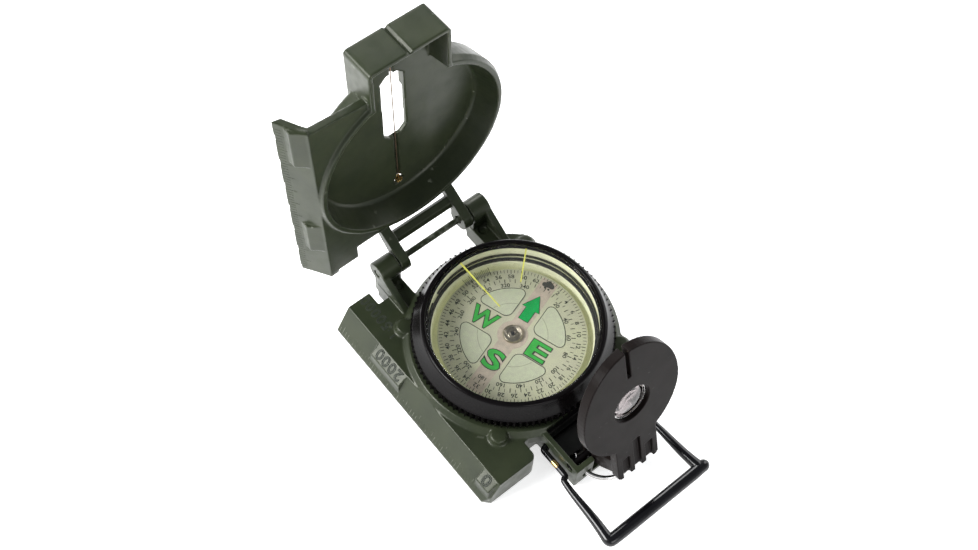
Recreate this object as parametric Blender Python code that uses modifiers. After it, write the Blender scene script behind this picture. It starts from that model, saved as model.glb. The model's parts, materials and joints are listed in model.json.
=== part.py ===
"""Sighting compass with a folding cover, a rotating bezel and a fold-down magnifier.

The dial's axis is the Z axis, the casting's underside is z = 0, and +Y points
from the dial towards the cover's hinge. Helper functions take millimetres and
build in metres.
"""

import math

import bmesh
import bpy
from mathutils import Matrix

MM = 0.001
GAP = 0.3

# Base casting
PLATE_TOP = 8.0
RULER_EDGE = 30.1
RULER_EDGE_HEIGHT = 0.9
BEVEL_TOP = 26.15
PLATE_FRONT = 30.95
PLATE_REAR = -27.2
BODY_SIDE = 21.3
BODY_REAR = -22.5
BODY_FRONT = 23.6
CORNER_RADIUS = 29.0
LEDGE_RADIUS = 26.3
LEDGE_TOP_RADIUS = 25.0
LEDGE_TOP = 9.4
PAD_ZERO = (-26.5, -21.8)
PAD_FAR = (7.3, 18.5)
WELL_RADIUS = 22.3
WELL_FLOOR = 2.5
BOSS_X = 18.9
BOSS_Y = 17.85
FOOT_RADIUS = 1.9
FOOT_PROUD = 0.6

# Tongue at the rear, which carries the magnifier and the thumb loop
TONGUE_HALF = 10.7
TONGUE_REAR = -36.1
TONGUE_TOP = 8.4
TONGUE_WALL = 1.4
TONGUE_FLOOR = 1.6
TONGUE_SHELF_Y = -31.0
TONGUE_SHELF_TOP = 5.2
TONGUE_MOUTH_HALF = 5.2

# Cover hinge
HINGE_Y = 31.75
HINGE_Z = 12.6
KNUCKLE_RADIUS = 3.05
KNUCKLE_INNER = 11.3
KNUCKLE_OUTER = 16.6
ARM_OUTER = 16.8
EAR_INNER = 8.4
EAR_OUTER = 11.0
HINGE_PIN_RADIUS = 0.8
COVER_OPEN_DEG = 91.3

# Cover casting, measured from the hinge: y is minus the reach, z is the height when shut
CUP_REACH = 31.75
CUP_RADIUS = 26.1
CUP_BACK_RADIUS = 25.3
CUP_BEAD = 0.9
CUP_RIM_INNER = 24.3
CUP_FLOOR_RADIUS = 22.6
FLANGE_FACE = 5.66
FLANGE_THICK = 2.0
CUP_FLOOR = 11.5
COVER_BACK = 12.6
BOX_HALF = 10.7
BOX_CORNER = 1.2
BOX_END = 66.5
BOX_FACE = 4.6
BOX_BACK = 13.6
BOX_WALL = 1.1
WING_START = 0.84
WING_END = 58.4
WING_TIP_END = 59.8
FLANGE_BOX_END = 57.0
WING_EDGE_HEIGHT = 12.4
WING_TOP = 25.8
WING_THICK = 2.0
COVER_PADS = ((-58.7, -46.7), (-23.1, -12.6))
SLOT_X = -0.5
SLOT_HALF = 3.1
SLOT_START = 30.7
SLOT_END = 52.9
SLOT_CHAMFER = 1.7
WIRE_RADIUS = 0.15
ANCHOR_REACH = 12.8
ANCHOR_RADIUS = 0.9

# Capsule and bezel
CAPSULE_RADIUS = 22.0
CAPSULE_BORE = 19.5
CAPSULE_LEDGE = 10.2
CAPSULE_MOUTH = 20.8
CAPSULE_TOP = 15.2
CARD_RADIUS = 18.1
CARD_TOP = 9.2
CARD_THICK = 0.5
CARD_HEADING_DEG = 72.0
PIVOT_CAP_RADIUS = 2.4
BEZEL_TIP_RADIUS = 24.55
BEZEL_ROOT_RADIUS = 24.05
BEZEL_BOTTOM = 9.75
BEZEL_SHOULDER = 12.66
BEZEL_TOP = 17.2
BEZEL_LIP_OUTER = 22.0
BEZEL_LIP_INNER = 20.9
BEZEL_BORE = 22.35
BEZEL_TEETH = 60
GLASS_RADIUS = 20.6
GLASS_TOP = 16.95
GLASS_THICK = 0.9
INDEX_SHORT_DEG = 48.0

# Magnifier bracket, measured from its pin: y runs up the plate, z out of its front
BRACKET_Y = -33.4
BRACKET_Z = 6.9
BRACKET_SHIFT = -0.45
BRACKET_LEAN_DEG = 74.0
BRACKET_RISE = 11.8
BRACKET_THICK = 2.4
LENS_CENTRE = 28.2
DISC_HALF = 13.35
DISC_LOW = 14.4
DISC_HIGH = 17.5
SLIT_LOW = 9.25
COMB_MIDDLE_TOP = 15.2
COMB_SIDE_TOP = 10.8
COMB_WEB = 1.5
FOOT_LOW = 4.0
LENS_RADIUS = 4.4
LENS_SEAT_RADIUS = 4.85
NECK_HALF = 5.9
LUG_HALF = 4.3
BRACKET_PIN_RADIUS = 0.8

# Thumb loop and lanyard ring
LOOP_Y = -25.5
LOOP_Z = 4.2
LOOP_WIRE = 0.75
LOOP_BAR = 1.55
LOOP_LEG = 11.75
LOOP_CORNER = 14.1
LOOP_FLARE = 1.2
LOOP_KINK_Y = -34.1
LOOP_END_Y = -51.95
RING_RADIUS = 7.1
RING_WIRE = 0.55
RING_Y = -34.2
RING_Z = 3.0

GREEN_PAINT = ((0.052, 0.062, 0.046), 0.42, 0.0)
BLACK_PLASTIC = ((0.018, 0.017, 0.018), 0.38, 0.0)
BLACK_LACQUER = ((0.008, 0.008, 0.009), 0.18, 0.0)
CREAM_PLASTIC = ((0.62, 0.62, 0.46), 0.4, 0.0)
CLEAR_GLASS = ((0.9, 0.94, 0.92), 0.03, 0.0)
LUMINOUS = ((0.75, 0.78, 0.15), 0.5, 0.0)
BRASS = ((0.72, 0.47, 0.16), 0.28, 1.0)
STEEL = ((0.55, 0.56, 0.57), 0.3, 1.0)
RUBBER = ((0.02, 0.02, 0.02), 0.8, 0.0)
DARK_STEEL = ((0.05, 0.05, 0.055), 0.35, 1.0)


def clear_scene():
    for obj in list(bpy.data.objects):
        bpy.data.objects.remove(obj, do_unlink=True)


def new_collection(name):
    collection = bpy.data.collections.new(name)
    bpy.context.scene.collection.children.link(collection)
    return collection


def material(name, look):
    colour, roughness, metallic = look
    made = bpy.data.materials.new(name)
    made.use_nodes = True
    shader = made.node_tree.nodes["Principled BSDF"]
    shader.inputs["Base Color"].default_value = (*colour, 1.0)
    shader.inputs["Roughness"].default_value = roughness
    shader.inputs["Metallic"].default_value = metallic
    return made


def link_mesh(name, mesh, collection, parent=None):
    obj = bpy.data.objects.new(name, mesh)
    collection.objects.link(obj)
    obj.parent = parent
    return obj


def finish_bmesh(name, shape, collection, parent=None):
    bmesh.ops.scale(shape, vec=(MM, MM, MM), verts=shape.verts)
    bmesh.ops.recalc_face_normals(shape, faces=shape.faces)
    mesh = bpy.data.meshes.new(name)
    shape.to_mesh(mesh)
    shape.free()
    return link_mesh(name, mesh, collection, parent)


def box(name, x, y, z, collection, parent=None):
    """A block between two limits on each axis."""
    shape = bmesh.new()
    bmesh.ops.create_cube(shape, size=1.0)
    size = (x[1] - x[0], y[1] - y[0], z[1] - z[0])
    middle = ((x[0] + x[1]) / 2, (y[0] + y[1]) / 2, (z[0] + z[1]) / 2)
    bmesh.ops.scale(shape, vec=size, verts=shape.verts)
    bmesh.ops.translate(shape, vec=middle, verts=shape.verts)
    return finish_bmesh(name, shape, collection, parent)


def rod(name, centre, radius, length, axis, collection, parent=None, sides=32, tip=None):
    """A cylinder, or a cone where a tip radius is given, centred on a point."""
    shape = bmesh.new()
    bmesh.ops.create_cone(
        shape,
        cap_ends=True,
        segments=sides,
        radius1=radius,
        radius2=radius if tip is None else tip,
        depth=length,
    )
    turn = {
        "X": Matrix.Rotation(math.pi / 2, 3, "Y"),
        "Y": Matrix.Rotation(-math.pi / 2, 3, "X"),
        "Z": Matrix.Identity(3),
    }[axis]
    bmesh.ops.rotate(shape, cent=(0, 0, 0), matrix=turn, verts=shape.verts)
    bmesh.ops.translate(shape, vec=centre, verts=shape.verts)
    return finish_bmesh(name, shape, collection, parent)


def mesh_from_curve(name, curve, collection, parent=None):
    """A curve turned into a welded mesh in its own place."""
    guide = bpy.data.objects.new(name + "_curve", curve)
    collection.objects.link(guide)
    bpy.context.view_layer.update()
    graph = bpy.context.evaluated_depsgraph_get()
    mesh = bpy.data.meshes.new_from_object(guide.evaluated_get(graph))
    bpy.data.objects.remove(guide, do_unlink=True)
    shape = bmesh.new()
    shape.from_mesh(mesh)
    bmesh.ops.remove_doubles(shape, verts=shape.verts, dist=1e-6)
    bmesh.ops.recalc_face_normals(shape, faces=shape.faces)
    shape.to_mesh(mesh)
    shape.free()
    mesh.materials.clear()
    return link_mesh(name, mesh, collection, parent)


def outline_solid(name, outline, low, high, collection, parent=None, plane="XY"):
    """A flat outline given thickness. The plane's first two axes hold the outline."""
    curve = bpy.data.curves.new(name, "CURVE")
    curve.dimensions = "2D"
    curve.fill_mode = "BOTH"
    curve.extrude = (high - low) / 2 * MM
    spline = curve.splines.new("POLY")
    spline.points.add(len(outline) - 1)
    for point, (a, b) in zip(spline.points, outline):
        point.co = (a * MM, b * MM, 0, 1)
    spline.use_cyclic_u = True
    made = mesh_from_curve(name, curve, collection, parent)
    made.data.transform(Matrix.Translation((0, 0, (low + high) / 2 * MM)))
    if plane == "YZ":
        made.data.transform(Matrix(((0, 0, 1, 0), (1, 0, 0, 0), (0, 1, 0, 0), (0, 0, 0, 1))))
    if plane == "XZ":
        made.data.transform(Matrix(((1, 0, 0, 0), (0, 0, 1, 0), (0, 1, 0, 0), (0, 0, 0, 1))))
        made.data.flip_normals()
    return made


def turned(name, profile, collection, parent=None, centre=(0, 0), steps=60):
    """A turned solid: the profile of (radius, height) points runs down its outer side."""
    shape = bmesh.new()
    verts = [shape.verts.new((r * MM, 0, z * MM)) for r, z in profile]
    closed = all(r > 0 for r, _ in profile)
    ends = list(zip(verts, verts[1:]))
    if closed:
        ends.append((verts[-1], verts[0]))
    for start, end in ends:
        shape.edges.new((start, end))
    mesh = bpy.data.meshes.new(name)
    shape.to_mesh(mesh)
    shape.free()
    obj = link_mesh(name, mesh, collection, parent)
    obj.location = (centre[0] * MM, centre[1] * MM, 0)
    screw = obj.modifiers.new("Turn", "SCREW")
    screw.steps = steps
    screw.render_steps = steps
    screw.use_merge_vertices = True
    screw.merge_threshold = 0.00001
    return obj


def wire(name, route, radius, collection, parent=None, cyclic=False, resolution=2, radii=None):
    """A round wire along a route of points, with closed ends. Radii can differ along it."""
    curve = bpy.data.curves.new(name, "CURVE")
    curve.dimensions = "3D"
    curve.bevel_depth = radius * MM
    curve.bevel_resolution = resolution
    curve.use_fill_caps = True
    spline = curve.splines.new("POLY")
    spline.points.add(len(route) - 1)
    for point, place in zip(spline.points, route):
        point.co = (*(value * MM for value in place), 1)
    for point, wide in zip(spline.points, radii or []):
        point.radius = wide / radius
    spline.use_cyclic_u = cyclic
    return mesh_from_curve(name, curve, collection, parent)


def boolean(target, operation, *others):
    for other in others:
        other.hide_render = True
        other.display_type = "WIRE"
        step = target.modifiers.new(other.name, "BOOLEAN")
        step.operation = operation
        step.solver = "EXACT"
        step.object = other


def arc(centre, radius, start, end, count):
    """Points on an arc, with its angles in degrees."""
    points = []
    for step in range(count + 1):
        angle = math.radians(start + (end - start) * step / count)
        points.append((centre[0] + radius * math.cos(angle), centre[1] + radius * math.sin(angle)))
    return points


def paint(obj, made, smooth_deg=30):
    obj.data.materials.append(made)
    obj.data.shade_smooth()
    obj.data.set_sharp_from_angle(angle=math.radians(smooth_deg))


def hinge_empty(name, place, turn_deg, collection):
    empty = bpy.data.objects.new(name, None)
    empty.location = tuple(value * MM for value in place)
    empty.rotation_euler = (math.radians(turn_deg), 0, 0)
    collection.objects.link(empty)
    return empty


def base_outline():
    corner_rear = math.degrees(math.atan2(BODY_REAR, math.sqrt(CORNER_RADIUS**2 - BODY_REAR**2)))
    corner_side = math.degrees(math.acos(BODY_SIDE / CORNER_RADIUS))
    corner_front = math.degrees(math.asin(BODY_FRONT / CORNER_RADIUS))
    plate_corner = -15.05
    outline = [(-RULER_EDGE, PLATE_REAR + 1.6), (-RULER_EDGE + 1.6, PLATE_REAR)]
    outline += arc((plate_corner - 1.7, PLATE_REAR + 1.7), 1.7, -90, 0, 4)
    outline += [(plate_corner, BODY_REAR)]
    outline += arc((0, 0), CORNER_RADIUS, corner_rear, -corner_side, 3)
    outline += arc((0, 0), CORNER_RADIUS, corner_side, corner_front, 4)
    outline += [(-ARM_OUTER, BODY_FRONT), (-ARM_OUTER, 27.0), (-19.85, 27.0)]
    outline += [(-19.85, PLATE_FRONT), (-RULER_EDGE, PLATE_FRONT)]
    return outline


def make_base(parts, tools, green):
    base = outline_solid("base_casting", base_outline(), 0, PLATE_TOP, parts)
    joined = [turned("ledge_blank", [(0, LEDGE_TOP), (LEDGE_TOP_RADIUS, LEDGE_TOP),
                                     (LEDGE_RADIUS, PLATE_TOP), (LEDGE_RADIUS, 4.6),
                                     (24.0, 3.0), (0, 3.0)], tools, steps=96)]
    tongue = (-TONGUE_HALF, TONGUE_HALF)
    joined.append(box("tongue_blank", tongue, (TONGUE_REAR, -18), (0, TONGUE_TOP), tools))
    for side in (-1, 1):
        label = "left" if side < 0 else "right"
        inner = sorted((side * 11.15, side * ARM_OUTER))
        joined.append(box(f"arm_{label}", inner, (20.0, HINGE_Y), (2.2, PLATE_TOP), tools))
        pad = sorted((side * KNUCKLE_INNER, side * KNUCKLE_OUTER))
        joined.append(box(f"knuckle_web_{label}", pad, (HINGE_Y - 2.6, HINGE_Y + 1.2),
                          (PLATE_TOP - 4, HINGE_Z), tools))
        middle = side * (KNUCKLE_INNER + KNUCKLE_OUTER) / 2
        joined.append(rod(f"knuckle_{label}", (middle, HINGE_Y, HINGE_Z), KNUCKLE_RADIUS,
                          KNUCKLE_OUTER - KNUCKLE_INNER, "X", tools))
        rib = [(20.8, PLATE_TOP - 1), (HINGE_Y, PLATE_TOP - 1), (HINGE_Y, HINGE_Z + 1.2),
               (HINGE_Y - 2.4, HINGE_Z + 1.2), (20.8, PLATE_TOP)]
        span = sorted((side * 14.95, side * (KNUCKLE_OUTER + 0.1)))
        joined.append(outline_solid(f"rib_{label}", rib, span[0], span[1], tools, plane="YZ"))
    for x in (-BOSS_X, BOSS_X):
        for y in (-BOSS_Y, BOSS_Y):
            joined.append(turned(f"boss_{x:+.0f}_{y:+.0f}",
                                 [(0, PLATE_TOP + 1.6), (1.75, PLATE_TOP + 1.5),
                                  (2.1, PLATE_TOP + 1.15), (2.25, PLATE_TOP + 0.5),
                                  (2.9, PLATE_TOP - 0.2), (2.9, PLATE_TOP - 2),
                                  (0, PLATE_TOP - 2)],
                                 tools, centre=(x, y), steps=24))
    boolean(base, "UNION", *joined)
    cuts = [turned("capsule_well", [(0, 20), (WELL_RADIUS, 20), (WELL_RADIUS, WELL_FLOOR),
                                    (0, WELL_FLOOR)], tools, steps=72)]
    run = BEVEL_TOP - RULER_EDGE
    lift = PLATE_TOP - RULER_EDGE_HEIGHT
    bevel = [(-RULER_EDGE, RULER_EDGE_HEIGHT),
             (-BEVEL_TOP - run * 0.3, PLATE_TOP + lift * 0.3),
             (-RULER_EDGE - 4, PLATE_TOP + lift * 0.3),
             (-RULER_EDGE - 4, RULER_EDGE_HEIGHT)]
    cuts.append(outline_solid("ruler_bevel", bevel, -40, 40, tools, plane="XZ"))
    inner = TONGUE_HALF - TONGUE_WALL
    cuts.append(box("tongue_well", (-inner, inner), (TONGUE_REAR + TONGUE_WALL, TONGUE_SHELF_Y),
                    (TONGUE_FLOOR, 20), tools))
    cuts.append(box("tongue_shelf", (-inner, inner), (TONGUE_SHELF_Y - 1, -23.6),
                    (TONGUE_SHELF_TOP, 20), tools))
    channel = RING_WIRE + 2 * GAP
    cuts.append(turned("ring_channel", [(RING_RADIUS + channel, RING_Z + channel),
                                        (RING_RADIUS + channel, RING_Z - channel),
                                        (RING_RADIUS - channel, RING_Z - channel),
                                        (RING_RADIUS - channel, RING_Z + channel),
                                        (RING_RADIUS + channel, RING_Z + channel)],
                       tools, None, (0, RING_Y), steps=48))
    mouth = (-TONGUE_MOUTH_HALF, TONGUE_MOUTH_HALF)
    cuts.append(box("tongue_mouth", mouth, (TONGUE_REAR - 2, TONGUE_REAR + 3),
                    (TONGUE_FLOOR, 20), tools))
    cuts.append(rod("loop_bore", (0, LOOP_Y, LOOP_Z), LOOP_WIRE + GAP, 30, "X", tools, sides=20))
    cuts.append(rod("bracket_bore", (0, BRACKET_Y, BRACKET_Z), BRACKET_PIN_RADIUS + GAP, 30, "X",
                    tools, sides=16))
    cuts.append(rod("hinge_bore", (0, HINGE_Y, HINGE_Z), HINGE_PIN_RADIUS + GAP, 60, "X", tools,
                    sides=16))
    for x in (-RING_RADIUS, RING_RADIUS):
        cuts.append(rod(f"ring_bore_{x:+.0f}", (x, TONGUE_REAR, RING_Z), RING_WIRE + 2 * GAP, 4,
                        "Y", tools, sides=16))
    for x in (-BOSS_X, BOSS_X):
        for y in (-BOSS_Y, BOSS_Y):
            cuts.append(rod(f"foot_bore_{x:+.0f}_{y:+.0f}", (x, y, 0), 1.2 + GAP, 11.4, "Z",
                            tools, sides=16))
            cuts.append(rod(f"foot_seat_{x:+.0f}_{y:+.0f}", (x, y, 0), FOOT_RADIUS + GAP,
                            1.6, "Z", tools, sides=20))
    for side in (-1, 1):
        label = "left" if side < 0 else "right"
        cuts.append(rod(f"arm_dimple_{label}", (side * 13.2, 27.8, PLATE_TOP), 1.1, 0.8, "Z", tools,
                        sides=20))
    boolean(base, "DIFFERENCE", *cuts)
    section = [(-BEVEL_TOP + 0.05, PLATE_TOP - 0.02), (-28.95, 5.75), (-29.1, 2.5), (-26.3, 2.5)]
    pads = [outline_solid(f"ruler_pad_{limits[0]:+.0f}", section, *limits, tools, plane="XZ")
            for limits in (PAD_ZERO, PAD_FAR)]
    boolean(base, "UNION", *pads)
    paint(base, green)
    return base


def make_feet(parts, rubber):
    names = ("rear_left", "front_left", "rear_right", "front_right")
    places = [(x, y) for x in (-BOSS_X, BOSS_X) for y in (-BOSS_Y, BOSS_Y)]
    for name, place in zip(names, places):
        profile = [(0, 5.2), (1.0, 5.2), (1.2, 4.9), (1.2, 0.5), (FOOT_RADIUS, 0.5),
                   (FOOT_RADIUS, -FOOT_PROUD + 0.3), (FOOT_RADIUS - 0.3, -FOOT_PROUD),
                   (0, -FOOT_PROUD)]
        foot = turned(f"rubber_foot_{name}", profile, parts, centre=place, steps=20)
        paint(foot, rubber)


def make_capsule(parts, cream, glass, steel, rubber, dark):
    floor = WELL_FLOOR + GAP
    wall = [(CAPSULE_MOUTH, CAPSULE_TOP), (CAPSULE_RADIUS, CAPSULE_TOP),
            (CAPSULE_RADIUS, 12.9), (21.4, 12.9), (21.4, 12.0), (CAPSULE_RADIUS, 12.0),
            (CAPSULE_RADIUS, floor), (0, floor)]
    inside = [(0, floor + 1.0), (CAPSULE_BORE, floor + 1.0), (CAPSULE_BORE, CAPSULE_LEDGE),
              (CAPSULE_MOUTH, CAPSULE_LEDGE), (CAPSULE_MOUTH, CAPSULE_TOP)]
    cup = turned("capsule_cup", (inside[:-1] + wall), parts)
    paint(cup, cream)
    post = turned("pivot_post", [(0, CARD_TOP - CARD_THICK - 0.2), (0.45, CARD_TOP - 2.2),
                                 (0.9, 6.2), (0.9, 4.6), (2.0, 4.6),
                                 (2.0, floor + 1.0 + GAP), (0, floor + 1.0 + GAP)], parts, steps=20)
    paint(post, steel)
    seal = turned("glass_gasket", [(19.7, CAPSULE_LEDGE + 0.6), (20.5, CAPSULE_LEDGE + 0.6),
                                   (20.5, CAPSULE_LEDGE + 0.2), (19.7, CAPSULE_LEDGE + 0.2)], parts)
    paint(seal, rubber)
    low = CAPSULE_LEDGE + 0.75
    pane = turned("capsule_glass", [(0, low + 0.7), (20.5, low + 0.7), (20.5, low), (0, low)], parts)
    paint(pane, glass)
    split_ring("capsule_snap_ring", 19.75, 20.6, low + 0.9, low + 1.6, 118, parts, dark)
    split_ring("bezel_retaining_ring", 21.65, 22.8, 12.25, 12.65, -90, parts, steel)


def split_ring(name, inner, outer, low, high, gap_deg, parts, made):
    """A flat spring ring with a gap, as one closed strip of section between two arcs."""
    half_gap = 4
    outline = arc((0, 0), outer, gap_deg + half_gap, gap_deg + 360 - half_gap, 44)
    outline += arc((0, 0), inner, gap_deg + 360 - half_gap, gap_deg + half_gap, 44)
    ring = outline_solid(name, outline, low, high, parts)
    paint(ring, made)


def make_card(parts, cream, steel, brass):
    card = turned("compass_card", [(PIVOT_CAP_RADIUS - 0.9, CARD_TOP), (CARD_RADIUS, CARD_TOP),
                                   (CARD_RADIUS, CARD_TOP - CARD_THICK),
                                   (PIVOT_CAP_RADIUS - 0.9, CARD_TOP - CARD_THICK)], parts)
    card.rotation_euler = (0, 0, -math.radians(CARD_HEADING_DEG))
    paint(card, cream)
    bar = outline_solid("magnet_bar", [(-2.2, -14.0), (2.2, -14.0), (2.2, 14.0), (-2.2, 14.0)],
                        CARD_TOP - CARD_THICK - GAP - 1.2, CARD_TOP - CARD_THICK - GAP, parts)
    bar.rotation_euler = (0, 0, -math.radians(CARD_HEADING_DEG))
    hole = rod("magnet_hole", (0, 0, CARD_TOP - 1.5), 1.4, 6, "Z", bpy.data.collections["cutters"])
    boolean(bar, "DIFFERENCE", hole)
    paint(bar, steel)
    cap = turned("pivot_cap", [(0, CARD_TOP + 1.15), (0.6, CARD_TOP + 1.1), (1.9, CARD_TOP + 0.9),
                               (PIVOT_CAP_RADIUS, CARD_TOP + 0.55),
                               (PIVOT_CAP_RADIUS, CARD_TOP + 0.1), (1.2, CARD_TOP + 0.1),
                               (1.2, CARD_TOP - 1.9), (0.75, CARD_TOP - 1.9), (0.75, CARD_TOP),
                               (0, CARD_TOP + 0.2)], parts, steps=32)
    paint(cap, brass)


def make_bezel(parts, tools, black, glass, luminous):
    profile = [(BEZEL_LIP_INNER, BEZEL_TOP), (BEZEL_LIP_OUTER - 0.15, BEZEL_TOP),
               (BEZEL_LIP_OUTER, BEZEL_TOP - 0.15), (23.7, BEZEL_SHOULDER + 0.4),
               (BEZEL_ROOT_RADIUS, BEZEL_SHOULDER), (BEZEL_ROOT_RADIUS, BEZEL_BOTTOM),
               (BEZEL_BORE, BEZEL_BOTTOM), (BEZEL_BORE, 11.9), (23.05, 11.9), (23.05, 12.95),
               (BEZEL_BORE, 12.95), (BEZEL_BORE, 15.5), (20.3, 15.5), (20.3, 15.75),
               (BEZEL_LIP_INNER, 15.75)]
    bezel = turned("bezel_ring", profile, parts, steps=72)
    teeth = []
    for step in range(BEZEL_TEETH):
        middle = math.radians(360 * step / BEZEL_TEETH)
        for part, radius in ((-0.28, 23.7), (-0.16, BEZEL_TIP_RADIUS), (0.16, BEZEL_TIP_RADIUS),
                             (0.28, 23.7)):
            angle = middle + part * math.tau / BEZEL_TEETH
            teeth.append((radius * math.cos(angle), radius * math.sin(angle)))
    knurl = outline_solid("knurl", teeth, BEZEL_BOTTOM + 0.15, BEZEL_SHOULDER - 0.1, tools)
    core = rod("knurl_core", (0, 0, 11), 23.4, 8, "Z", tools, sides=72)
    boolean(knurl, "DIFFERENCE", core)
    boolean(bezel, "UNION", knurl)
    paint(bezel, black)
    pane = turned("bezel_glass", [(0, GLASS_TOP), (GLASS_RADIUS, GLASS_TOP),
                                  (GLASS_RADIUS, GLASS_TOP - GLASS_THICK),
                                  (0, GLASS_TOP - GLASS_THICK)], parts)
    paint(pane, glass)
    strip = GLASS_TOP - GLASS_THICK - 0.05
    for name, inner, heading in (("bezel_index_long", 5.3, 0.0),
                                 ("bezel_index_short", 10.9, INDEX_SHORT_DEG)):
        line = outline_solid(name, [(-0.25, inner), (0.25, inner), (0.25, 20.2), (-0.25, 20.2)],
                             strip - 0.2, strip, parts)
        line.rotation_euler = (0, 0, -math.radians(heading))
        paint(line, luminous)


def cover_blanks(hinge, tools):
    """Solids that the cover is joined from, apart from its cup."""
    face = FLANGE_FACE
    blanks = []
    side, end = BOX_HALF - BOX_CORNER, BOX_CORNER - BOX_END
    shell = arc((-side, end), BOX_CORNER, 180, 270, 4) + arc((side, end), BOX_CORNER, 270, 360, 4)
    shell += [(BOX_HALF, -46), (-BOX_HALF, -46)]
    blanks.append(outline_solid("box_blank", shell, BOX_FACE, BOX_BACK, tools, hinge))
    flange = [(-WING_TOP, -WING_START - 1.0), (-17.7, -WING_START - 1.0), (-17.7, -6.4),
              (-6.0, -6.4), (-6.0, -56.6), (-BOX_HALF, -FLANGE_BOX_END), (-WING_TOP, -WING_END)]
    blanks.append(outline_solid("flange_blank", flange, face, face + FLANGE_THICK, tools, hinge))
    drop = WING_EDGE_HEIGHT - face
    run = RULER_EDGE - WING_TOP
    inward = WING_THICK * math.hypot(drop, run) / drop
    wing = [(-WING_TOP, face), (-RULER_EDGE, WING_EDGE_HEIGHT),
            (-RULER_EDGE + inward, WING_EDGE_HEIGHT), (-WING_TOP + inward, face + 0.1)]
    blank = outline_solid("wing_blank", wing, -WING_TIP_END - 1, -WING_START, tools, hinge, "XZ")
    slant = (WING_TIP_END - WING_END) / (RULER_EDGE - WING_TOP)
    trim = [(-WING_TOP, -WING_END), (-RULER_EDGE - 1, -WING_TIP_END - slant),
            (-RULER_EDGE - 1, -WING_TIP_END - 3), (-21.0, -WING_TIP_END - 3), (-21.0, -57.9)]
    boolean(blank, "DIFFERENCE", outline_solid("wing_trim", trim, 3, 15, tools, hinge))
    blanks.append(blank)
    section = [(-WING_TOP + 0.1, face + 0.12), (-28.75, 8.4), (-28.65, 10.2), (-27.2, 9.5),
               (-25.2, 6.6)]
    for start, end in COVER_PADS:
        blanks.append(outline_solid(f"cover_pad_{end:+.0f}", section, start, end, tools, hinge,
                                    "XZ"))
    for side in (-1, 1):
        label = "left" if side < 0 else "right"
        span = sorted((side * EAR_INNER, side * EAR_OUTER))
        ear = arc((0, 0), KNUCKLE_RADIUS, 110, -130, 12)
        ear += [(-7.0, 5.75), (-11.0, 6.2), (-11.0, 10.4), (-6.6, 8.6)]
        blanks.append(outline_solid(f"ear_{label}", ear, span[0], span[1], tools, hinge, "YZ"))
    bar = [(-3.0, 2.2), (-4.6, 2.6), (-5.4, 4.2), (-4.6, 5.4), (-3.2, 4.6)]
    blanks.append(outline_solid("cross_bar", bar, -EAR_OUTER + 0.5, EAR_OUTER - 0.5, tools,
                                hinge, "YZ"))
    return blanks


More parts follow.
